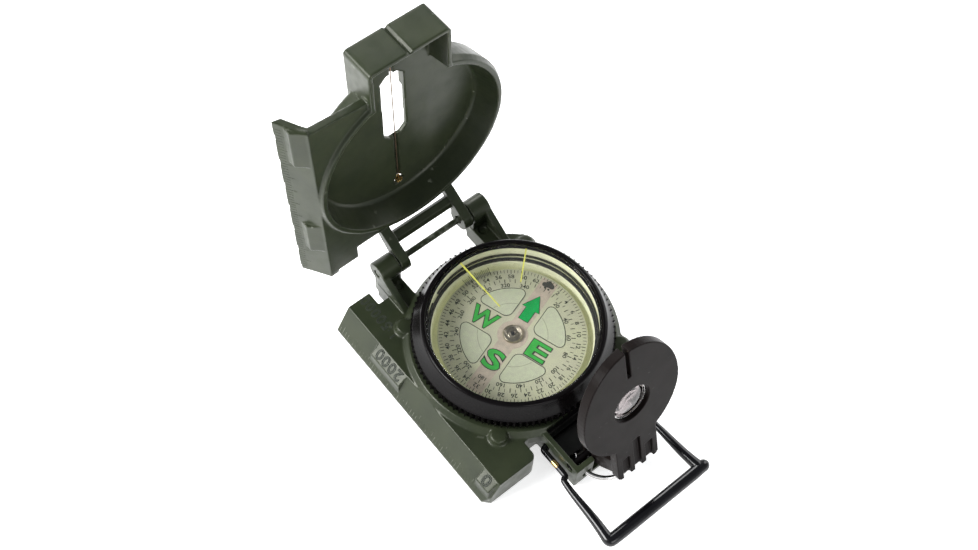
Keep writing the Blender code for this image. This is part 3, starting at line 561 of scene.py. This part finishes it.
def text_shape(words, thickness, offset=0.0, rim=0.0):
    """The words as a solid centred on the origin, or only their outlines where a rim is given."""
    key = (words, thickness, offset, rim)
    if key not in TEXTS:
        curve = bpy.data.curves.new("words", "FONT")
        curve.body = words
        curve.extrude = thickness / 2
        curve.offset = offset
        curve.resolution_u = 4
        if rim:
            curve.fill_mode = "NONE"
            curve.bevel_depth = rim
            curve.bevel_resolution = 1
        guide = bpy.data.objects.new("words", curve)
        bpy.context.scene.collection.objects.link(guide)
        graph = bpy.context.evaluated_depsgraph_get()
        mesh = bpy.data.meshes.new_from_object(guide.evaluated_get(graph))
        bpy.data.objects.remove(guide, do_unlink=True)
        low = Vector([min(v.co[axis] for v in mesh.vertices) for axis in range(3)])
        high = Vector([max(v.co[axis] for v in mesh.vertices) for axis in range(3)])
        mesh.transform(Matrix.Translation(-(low + high) / 2))
        TEXTS[key] = (mesh, high - low)
    shape = bmesh.new()
    shape.from_mesh(TEXTS[key][0])
    bmesh.ops.remove_doubles(shape, verts=shape.verts, dist=1e-5)
    return shape, TEXTS[key][1]


def add_text(target, words, box, z, thickness, turn_deg=0.0, grow=0.0, offset=0.0):
    """Words fitted into a box (x0, x1, y0, y1), turned about its middle."""
    shape, size = text_shape(words, 1.0, offset)
    wide, tall = box[1] - box[0] + 2 * grow, box[3] - box[2] + 2 * grow
    middle = ((box[0] + box[1]) / 2, (box[2] + box[3]) / 2, z + thickness / 2)
    fit = Matrix.Diagonal((wide / size.x, tall / size.y, thickness / size.z, 1))
    add(target, shape, Matrix.Translation(middle) @ Matrix.Rotation(math.radians(turn_deg), 4, "Z") @ fit)


def add_words(target, words, height, place, z, thickness, turn_deg=0.0):
    """Words of a given height, a little bolder and wider than the font's own."""
    bolder, wider = 0.012, 1.15
    shape, size = text_shape(words, 1.0, bolder)
    scale = height / size.y
    fit = Matrix.Diagonal((scale * wider, scale, thickness / size.z, 1))
    middle = (place[0], place[1], z + thickness / 2)
    add(target, shape, Matrix.Translation(middle) @ Matrix.Rotation(math.radians(turn_deg), 4, "Z") @ fit)


# ---------------------------------------------------------------- dial

def lobe_outline():
    """One quarter of the card between north and east, with its three corners rounded."""
    inset, reach, inner, outer = 3.2, 12.7, 1.9, 1.3
    along = math.sqrt((reach - outer) ** 2 - (inset + outer) ** 2)
    lean = math.degrees(math.atan2(inset + outer, along))
    points = arc((inset + inner, inset + inner), inner, 270, 180, 8)
    points += arc((inset + outer, along), outer, 180, 90 - lean, 8)
    points += arc((0, 0), reach, 90 - lean, lean, 16)[1:-1]
    points += arc((along, inset + outer), outer, lean, -90, 8)
    return points


def add_lobes(inks, level):
    """The card's four pale quarters, each with its dark rim and a faint arc."""
    for quarter in range(4):
        spin = Matrix.Rotation(math.radians(90 * quarter), 4, "Z")
        outline = lobe_outline()
        add(inks["lobe"], prism(outline, level, level + 0.05), spin)
        add(inks["print"], strip(outline, 0.17, level, level + 0.07, True), spin)
        add(inks["faint"], strip(arc((0, 0), 8.5, 24, 66, 16), 0.1, level, level + 0.06), spin)


def add_bar_and_arrow(inks, level):
    """The broad bar from north to south, the disc round the pivot and the green arrow."""
    half_width, half_length, disc_radius = 2.13, 17.5, 3.74
    bar = [(-half_width, -half_length), (half_width, -half_length), (half_width, half_length),
           (-half_width, half_length)]
    add(inks["bar"], prism(bar, level, level + 0.03))
    add(inks["bar"], prism(arc((0, 0), disc_radius, 0, 350, 35), level + 0.002, level + 0.035))
    tip, barb, foot = 12.44, 8.18, 4.7
    barb_x, shaft_x = 2.26, 1.22
    arrow = [(0, tip), (barb_x, barb), (shaft_x, barb), (shaft_x, foot), (-shaft_x, foot),
             (-shaft_x, barb), (-barb_x, barb)]
    add(inks["arrow"], prism(arrow, level + 0.03, level + 0.09))
    add(inks["print"], strip(arrow, 0.42, level + 0.03, level + 0.075, True))


def add_letters(inks, level):
    """West, east and south in green with a dark rim, and the dark mark at the north end."""
    for letter, box in (("W", (-11.8, -4.9, -2.3, 2.3)), ("E", (4.9, 10.0, -2.7, 2.0)),
                        ("S", (-2.5, 2.0, -10.7, -5.5))):
        add_text(inks["print"], letter, box, level + 0.03, 0.03, grow=0.24, offset=0.055)
        add_text(inks["letters"], letter, box, level + 0.05, 0.05, offset=0.02)
    spots = ((0.1, 16.5, 0.95), (-0.85, 16.0, 0.62), (1.0, 16.3, 0.7), (-0.3, 15.3, 0.35),
             (0.7, 15.2, 0.28))
    for index, (x, y, wide) in enumerate(spots):
        rise = level + 0.03 + 0.004 * index
        add(inks["north"], prism(arc((x, y), wide, 0, 330, 11), rise, rise + 0.03))


def add_ticks(target, count, every, starts, end, widths, level):
    """A ring of marks that end at one radius. One in every few is long and wide."""
    for step in range(count):
        kind = 0 if step % every == 0 else 1
        tick = strip([(0, starts[kind]), (0, end)], widths[kind], level, level + 0.04)
        add(target, tick, Matrix.Rotation(math.tau * step / count, 4, "Z"))


def add_scales(target, level):
    """The inner scale in degrees and the outer one in mils, with their numbers."""
    add_ticks(target, 72, 2, (14.1, 14.4), 15.15, (0.17, 0.12), level)
    add_ticks(target, 128, 4, (16.7, 16.95), 17.75, (0.16, 0.12), level)
    for degrees in range(20, 360, 20):
        add_dial_number(target, str(degrees), degrees, 13.5, 1.0, level)
    for hundreds in range(2, 64, 2):
        add_dial_number(target, str(hundreds), hundreds * 360 / 64, 15.95, 1.05, level)


def make_cap():
    """The turned cap on the card's pivot, with its jewel."""
    cap = revolve(fillet([(0, 9.95), (0.62, 9.95), (0.7, 10.2), (1.15, 10.25), (1.25, 10.12),
                          (1.45, 10.12), (1.6, 10.22), (2.2, 10.05), (2.4, 9.8), (2.4, 9.32),
                          (1.2, 9.32), (1.2, 7.3), (0.75, 7.3), (0.75, 9.2), (0, 9.4)], 0.08, 3,
                         False), 64)
    stand_in(to_object("pivot_jewel", cap, MATERIALS["jewel"]), "dial", "brass", "pivot_cap")
    jewel = revolve([(0, 10.16), (0.25, 10.14), (0.42, 10.05), (0.45, 9.9), (0, 9.9)], 32)
    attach(to_object("jewel_dot", jewel, MATERIALS["dark"]), "dial")


def make_card():
    face = revolve(fillet([(1.5, CARD_TOP), (CARD_RADIUS, CARD_TOP), (CARD_RADIUS, CARD_TOP - 0.5),
                           (1.5, CARD_TOP - 0.5)], 0.12, 3), 192)
    turn = Matrix.Rotation(-math.radians(CARD_HEADING_DEG), 4, "Z")
    card = to_object("dial_card", face, MATERIALS["card"], turn)
    stand_in(card, "dial", "cream_plastic", "compass_card")
    level = CARD_TOP + 0.005
    inks = {name: bmesh.new()
            for name in ("print", "faint", "bar", "letters", "arrow", "lobe", "north")}
    add_lobes(inks, level)
    add_bar_and_arrow(inks, level)
    add_letters(inks, level)
    add_scales(inks["print"], level)
    for name, shape in inks.items():
        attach(to_object(f"dial_{name}", shape, MATERIALS[name], turn), "dial")
    make_cap()


def add_dial_number(target, words, degrees, radius, height, level):
    """A number with its top outwards, at a heading clockwise from north."""
    angle = math.radians(degrees)
    place = (radius * math.sin(angle), radius * math.cos(angle))
    add_words(target, words, height, place, level, 0.04, -degrees)


def make_capsule():
    floor = 2.8
    profile = fillet([(0, floor + 1.0), (19.5, floor + 1.0), (19.5, 10.2), (20.8, 10.2),
                      (20.8, 15.2), (22.0, 15.2), (22.0, 12.9), (21.4, 12.9), (21.4, 12.0),
                      (22.0, 12.0), (22.0, floor), (0, floor)], 0.25, 3, False)
    cup = to_object("capsule_bowl", revolve(profile, 192), MATERIALS["cream"])
    stand_in(cup, "base", "cream_plastic", "capsule_cup")
    pane = revolve(fillet([(0, 11.65), (20.5, 11.65), (20.5, 10.95), (0, 10.95)], 0.15, 3, False),
                   128)
    stand_in(to_object("capsule_window", pane, MATERIALS["inner_glass"]), "base", "clear_window",
             "capsule_glass")
    outline = arc((0, 0), 20.6, 122, 474, 120) + arc((0, 0), 20.15, 474, 122, 120)
    ring = prism(outline, 12.0, 12.4)
    stand_in(to_object("snap_ring", ring, MATERIALS["dark"]), "base", "dark_steel",
             "capsule_snap_ring")


def make_bezel():
    rim_radius, rim_bottom, rim_top = 23.9, 9.7, 12.7
    tooth_tip, tooth_height = 0.5, 1.1

    def knurl(angle, radius, height):
        """Pointed teeth, all round the rim's outer face."""
        if radius < rim_radius or not rim_bottom < height < rim_top:
            return 0.0
        phase = (angle * BEZEL_TEETH / math.tau) % 1.0
        return tooth_tip - tooth_height * abs(2 * phase - 1)

    profile = [(20.9, 17.2), (21.4, 17.2), (21.7, 17.14), (21.94, 16.98), (22.12, 16.74),
               (22.26, 16.42), (23.75, 13.1), (24.05, 12.75),
               (24.05, 12.3), (24.05, 10.0), (24.0, 9.75), (22.35, 9.75), (22.35, 11.9),
               (23.05, 11.9), (23.05, 12.95), (22.35, 12.95), (22.35, 15.5), (20.3, 15.5),
               (20.3, 15.75), (20.9, 15.75)]
    ring = revolve(fillet(profile, 0.22, 3), BEZEL_TEETH * 10, knurl)
    stand_in(to_object("bezel_body", ring, MATERIALS["black"], smooth_deg=45), "bezel",
             "black_plastic", "bezel_ring")
    pane = revolve(fillet([(0, 16.95), (20.6, 16.95), (20.6, 16.05), (0, 16.05)], 0.15, 3, False),
                   160)
    stand_in(to_object("bezel_window", pane, MATERIALS["glass"]), "bezel", "clear_window",
             "bezel_glass")


def make_index_lines():
    """Two luminous strips under the bezel's glass, each a little slimmer towards the dial's middle."""
    for node, inner, heading in (("bezel_index_long", 5.3, 0), ("bezel_index_short", 10.9, 48)):
        low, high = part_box(node)[0][2] / MM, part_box(node)[1][2] / MM
        outline = [(-0.14, inner), (0.14, inner), (0.2, 20.25), (-0.2, 20.25)]
        shape = prism(outline, low, high)
        turn = Matrix.Rotation(-math.radians(heading), 4, "Z")
        piece = to_object(node.replace("bezel", "luminous"), shape, MATERIALS["line"], turn)
        stand_in(piece, "bezel", "luminous_line", node)


def make_vernier():
    """Fine lines printed under the capsule's glass, beside the fixed mark."""
    lines = bmesh.new()
    for step in range(17):
        long = step % 4 == 0
        tick = strip([(0, 16.4), (0, 18.4 if long else 18.0)], 0.13, 10.9, 10.93)
        add(lines, tick, Matrix.Rotation(math.radians(2.5 - 1.4 * step), 4, "Z"))
    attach(to_object("capsule_vernier", lines, MATERIALS["print"]), "base")


# ---------------------------------------------------------------- castings

def bevel_place(along):
    """A matrix that lays marks on the ruler's bevel: x across from the edge, y along, z out."""
    run, lift = BEVEL_TOP - RULER_EDGE, PLATE_TOP - RULER_EDGE_HEIGHT
    across = Vector((run, 0, lift)).normalized()
    out = Vector((-lift, 0, run)).normalized()
    return Matrix(((across.x, 0, out.x, RULER_EDGE), (0, 1, 0, along),
                   (across.z, 0, out.z, RULER_EDGE_HEIGHT), (0, 0, 0, 1)))


def pad_place(along):
    """A matrix on the sloping face of a ruler pad: x away from the dial, y along the edge."""
    start, end = Vector((BEVEL_TOP, 0, PLATE_TOP)), Vector((PAD_FOOT[0], 0, PAD_FOOT[1]))
    down = (end - start).normalized()
    out = Vector((down.z, 0, -down.x))
    middle = (start + end) / 2
    return Matrix(((-down.x, 0, out.x, middle.x), (0, 1, 0, along), (-down.z, 0, out.z, middle.z),
                   (0, 0, 0, 1)))


def add_engraved(target, words, height, place, wide=1.0):
    """The outlines of figures, as fine rounded lines on the casting."""
    line_radius, flatness = 0.036, 0.8
    shape, size = text_shape(words, 0.0, rim=line_radius)
    scale = height / size.y
    add(target, shape, place @ Matrix.Rotation(math.radians(90), 4, "Z") @ Matrix.Diagonal(
        (scale * wide, scale, scale * flatness, 1)))


def add_ruler_tick(target, long, rise, place):
    """One mark of a ruler edge, sunk into the casting and standing a little proud of it."""
    reach = TICK_START + (TICK_LONG if long else TICK_SHORT)
    add(target, strip([(TICK_START, 0), (reach, 0)], TICK_WIDTH, -0.05, rise), place)


def add_scale_figures(target):
    """The scale's name on the plate, and its 2000 and 0 on the two pads."""
    column, colon_height, figure_height = -21.9, 1.3, 2.8
    for index, mark in enumerate("1:50000"):
        along = 17.9 + index * 1.9 if index < 2 else 16.7 + index * 2.17
        place = Matrix.Translation((column, along, PLATE_TOP - 0.03))
        add_engraved(target, mark, colon_height if mark == ":" else figure_height, place)
    for index, mark in enumerate("2000"):
        add_engraved(target, mark, 3.0, pad_place(9.3 + 2.35 * index), 1.05)
    add_engraved(target, "0", 3.2, pad_place(-24.1), 1.15)


def make_base():
    base = cast_skin("base_cast", "base_casting", MATERIALS["green"], 0.2, 3, 0.35)
    stand_in(base, "base", "green_paint", "base_casting")
    marks = bmesh.new()
    for step in range(-21, 31):
        add_ruler_tick(marks, step % 5 == 4, 0.05, bevel_place(step - 0.05))
    figures = bmesh.new()
    add_scale_figures(figures)
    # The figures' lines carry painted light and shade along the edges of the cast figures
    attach(to_object("pad_figures", figures, MATERIALS["engraved"]), "base")
    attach(to_object("ruler_marks", marks, MATERIALS["green"]), "base")


def make_cover():
    cover = cast_skin("cover_cast", "cover_casting", MATERIALS["green"], 0.2, 3, 0.35)
    stand_in(cover, "cover", "green_paint", "cover_casting")
    across = Vector((WING_ROOT[0] - WING_EDGE[0], 0, WING_ROOT[1] - WING_EDGE[1])).normalized()
    out = Vector((across.z, 0, -across.x))
    marks = bmesh.new()
    for step in range(2, 58):
        place = Matrix(((across.x, 0, out.x, WING_EDGE[0]), (0, 1, 0, -step - 0.4),
                        (across.z, 0, out.z, WING_EDGE[1]), (0, 0, 0, 1)))
        add_ruler_tick(marks, step % 5 == 0, 0.04, place)
    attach(to_object("wing_marks", marks, MATERIALS["green"], COVER_PLACE), "cover")


def make_bracket():
    plate = cast_skin("bracket_plate", "lens_bracket", MATERIALS["bracket"], 0.14, 4, 0.6)
    stand_in(plate, "bracket", "black_plastic", "lens_bracket")
    lens = revolve([(0, 12.75), (1.2, 12.68), (2.4, 12.46), (3.4, 12.14), (4.1, 11.85),
                    (4.33, 11.7), (4.35, 11.6), (4.35, 11.35), (4.3, 11.2), (3.4, 11.1),
                    (1.8, 11.02), (0, 11.0)], 96, centre=(0, LENS_REACH))
    stand_in(to_object("magnifier", lens, MATERIALS["lens"], BRACKET_PLACE), "bracket",
             "clear_window", "magnifier_lens")
    rim = revolve(fillet([(4.42, 12.0), (4.78, 12.0), (4.78, 11.0), (4.42, 11.0)], 0.06, 2), 96,
                  centre=(0, LENS_REACH))
    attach(to_object("lens_rim", rim, MATERIALS["steel"], BRACKET_PLACE), "bracket")


def smooth_route(points, rounds=3):
    """Corner cutting, which leaves the ends in place."""
    for _ in range(rounds):
        made = [points[0]]
        for start, end in zip(points, points[1:]):
            a, b = Vector(start), Vector(end)
            made += [tuple(a.lerp(b, 0.25)), tuple(a.lerp(b, 0.75))]
        made.append(points[-1])
        points = made
    return points


def tube(name, route, radius, made, place, sides=5, radii=None):
    """A round wire along a route. Its radius can differ from point to point."""
    curve = bpy.data.curves.new(name, "CURVE")
    curve.dimensions = "3D"
    curve.bevel_depth = radius * MM
    curve.bevel_resolution = sides
    curve.use_fill_caps = True
    spline = curve.splines.new("POLY")
    spline.points.add(len(route) - 1)
    for index, (point, spot) in enumerate(zip(spline.points, route)):
        point.co = (*(place @ (Vector(spot) * MM)), 1)
        point.radius = radii[index] / radius if radii else 1.0
    obj = bpy.data.objects.new(name, curve)
    bpy.context.scene.collection.objects.link(obj)
    graph = bpy.context.evaluated_depsgraph_get()
    mesh = bpy.data.meshes.new_from_object(obj.evaluated_get(graph))
    bpy.data.objects.remove(obj, do_unlink=True)
    shape = bmesh.new()
    shape.from_mesh(mesh)
    bmesh.ops.remove_doubles(shape, verts=shape.verts, dist=1e-7)
    shape.to_mesh(mesh)
    shape.free()
    mesh.shade_smooth()
    mesh.set_sharp_from_angle(angle=math.radians(50))
    return link(name, mesh, made)


def make_loop():
    """The thumb loop's wire: (x, y, radius) from its bent end out and round to the crossbar."""
    half = [(8.8, 0, 0.75), (10.95, 0, 0.75), (11.75, -0.3, 0.75), (11.75, -1.3, 0.75),
            (11.75, -8.0, 0.75), (12.0, -8.5, 0.75), (12.85, -8.9, 0.75), (13.0, -9.7, 0.75),
            (13.3, -12.6, 0.85), (13.5, -20.0, 1.15), (13.85, -23.9, 1.3), (14.15, -26.3, 1.5),
            (13.0, -26.45, 1.55), (9.0, -26.45, 1.55)]
    rounded = smooth_route(half)
    route = [(-x, y, 0) for x, y, _ in rounded] + [(x, y, 0) for x, y, _ in reversed(rounded)]
    radii = [radius for _, _, radius in rounded]
    place = Matrix.Translation(joint_place("loop_pivot"))
    loop = tube("thumb_wire", route, 1.0, MATERIALS["lacquer"], place, 7, radii + radii[::-1])
    stand_in(loop, "loop", "black_lacquer", "thumb_loop")
    ends = ((12.5, 1.52), (15.0, 1.5), (15.6, 1.38), (16.05, 1.12), (16.4, 0.75), (16.6, 0.3))
    tip = tube("thumb_bar_end", [(x, -26.4, 0) for x, _ in ends], 1.0, MATERIALS["lacquer"],
               place, 7, [wide for _, wide in ends])
    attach(tip, "loop")


def make_ring():
    """A split ring: two turns of wire, one above the other."""
    thick, turns, steps = 0.44, 1.95, 150
    first_end = math.radians(110)
    cross_start, cross_share = 0.42, 0.16
    route = []
    for step in range(steps + 1):
        t = step / steps
        angle = first_end + math.tau * turns * t
        climbed = min(1.0, max(0.0, (t - cross_start) / cross_share))
        route.append((RING_RADIUS * math.cos(angle), RING_RADIUS * math.sin(angle),
                      thick * (2 * climbed - 1)))
    place = Matrix.Translation(joint_place("lanyard_ring_turn"))
    ring = tube("split_ring", route, thick, MATERIALS["steel"], place, 4)
    stand_in(ring, "ring", "bright_steel", "lanyard_ring")


def dress_nodes():
    """The small nodes that keep their CAD shape."""
    looks = {"pivot_post": "steel", "magnet_bar": "steel", "glass_gasket": "rubber",
             "bezel_retaining_ring": "steel", "sighting_wire": "strand",
             "wire_anchor_pin": "brass", "cover_hinge_pin": "green", "lens_hinge_pin": "black"}
    for side in ("rear_left", "front_left", "rear_right", "front_right"):
        looks[f"rubber_foot_{side}"] = "rubber"
    for node, look in looks.items():
        mesh = frame["nodes"][node].data
        mesh.materials.clear()
        mesh.materials.append(MATERIALS[look])


# ---------------------------------------------------------------- studio

def area_light(name, place, aim, size, power, colour=(1, 1, 1)):
    light = bpy.data.lights.new(name, "AREA")
    light.shape = "RECTANGLE"
    light.size, light.size_y = size
    light.energy = power
    light.color = colour
    obj = bpy.data.objects.new(name, light)
    obj.location = place
    direction = Vector(aim) - Vector(place)
    obj.rotation_euler = direction.to_track_quat("-Z", "Y").to_euler()
    bpy.context.scene.collection.objects.link(obj)


def make_camera():
    camera = bpy.data.cameras.new("camera")
    camera.lens = CAMERA_LENS
    camera.shift_x = CAMERA_SHIFT
    camera.clip_start = 0.01
    obj = bpy.data.objects.new("camera", camera)
    turn = (Matrix.Rotation(math.radians(CAMERA_AZIMUTH), 4, "Z")
            @ Matrix.Rotation(math.radians(90 - CAMERA_ELEVATION), 4, "X")
            @ Matrix.Rotation(math.radians(CAMERA_ROLL), 4, "Z"))
    obj.matrix_world = Matrix.Translation(CAMERA_PLACE) @ turn
    bpy.context.scene.collection.objects.link(obj)
    bpy.context.scene.camera = obj


def make_floor():
    shape = bmesh.new()
    bmesh.ops.create_grid(shape, x_segments=1, y_segments=1, size=3.0)
    mesh = bpy.data.meshes.new("floor")
    shape.to_mesh(mesh)
    shape.free()
    look = Look("floor_paper", (0.93, 0.93, 0.93), 0.9)
    look.set("Emission Color", (1, 1, 1, 1))
    look.set("Emission Strength", 0.6)
    floor = link("floor", mesh, look.done())
    floor.location.z = cad_box[0][2] - 0.0002


def make_world():
    """A room that is pale at the horizon and dim overhead."""
    world = bpy.data.worlds.new("studio")
    world.use_nodes = True
    nodes, links = world.node_tree.nodes, world.node_tree.links
    height = nodes.new("ShaderNodeSeparateXYZ")
    links.new(nodes.new("ShaderNodeTexCoord").outputs["Generated"], height.inputs["Vector"])
    ramp = nodes.new("ShaderNodeValToRGB")
    ramp.color_ramp.elements[0].color = (0.75, 0.76, 0.78, 1)
    ramp.color_ramp.elements[1].color = (0.16, 0.17, 0.18, 1)
    ramp.color_ramp.elements[0].position = 0.1
    ramp.color_ramp.elements[1].position = 0.8
    links.new(height.outputs["Z"], ramp.inputs["Fac"])
    links.new(ramp.outputs["Color"], nodes["Background"].inputs["Color"])
    bpy.context.scene.world = world
    bpy.context.scene.view_settings.view_transform = "Standard"


def make_lights():
    area_light("left_box", (-0.60, 0.28, 0.46), (0, 0, 0.01), (0.40, 0.40), 9.0)
    area_light("back_box", (0.10, 0.75, 0.50), (0, 0, 0.03), (0.7, 0.4), 6.5)
    area_light("right_box", (0.75, 0.1, 0.45), (0, 0, 0.02), (0.5, 0.5), 3.0)
    area_light("front_box", (-0.1, -0.8, 0.45), (0, 0, 0.02), (0.6, 0.4), 2.6)


make_camera()
make_floor()
make_world()
make_lights()
make_card()
make_capsule()
make_bezel()
make_index_lines()
make_vernier()
make_base()
make_cover()
make_bracket()
make_loop()
make_ring()
dress_nodes()
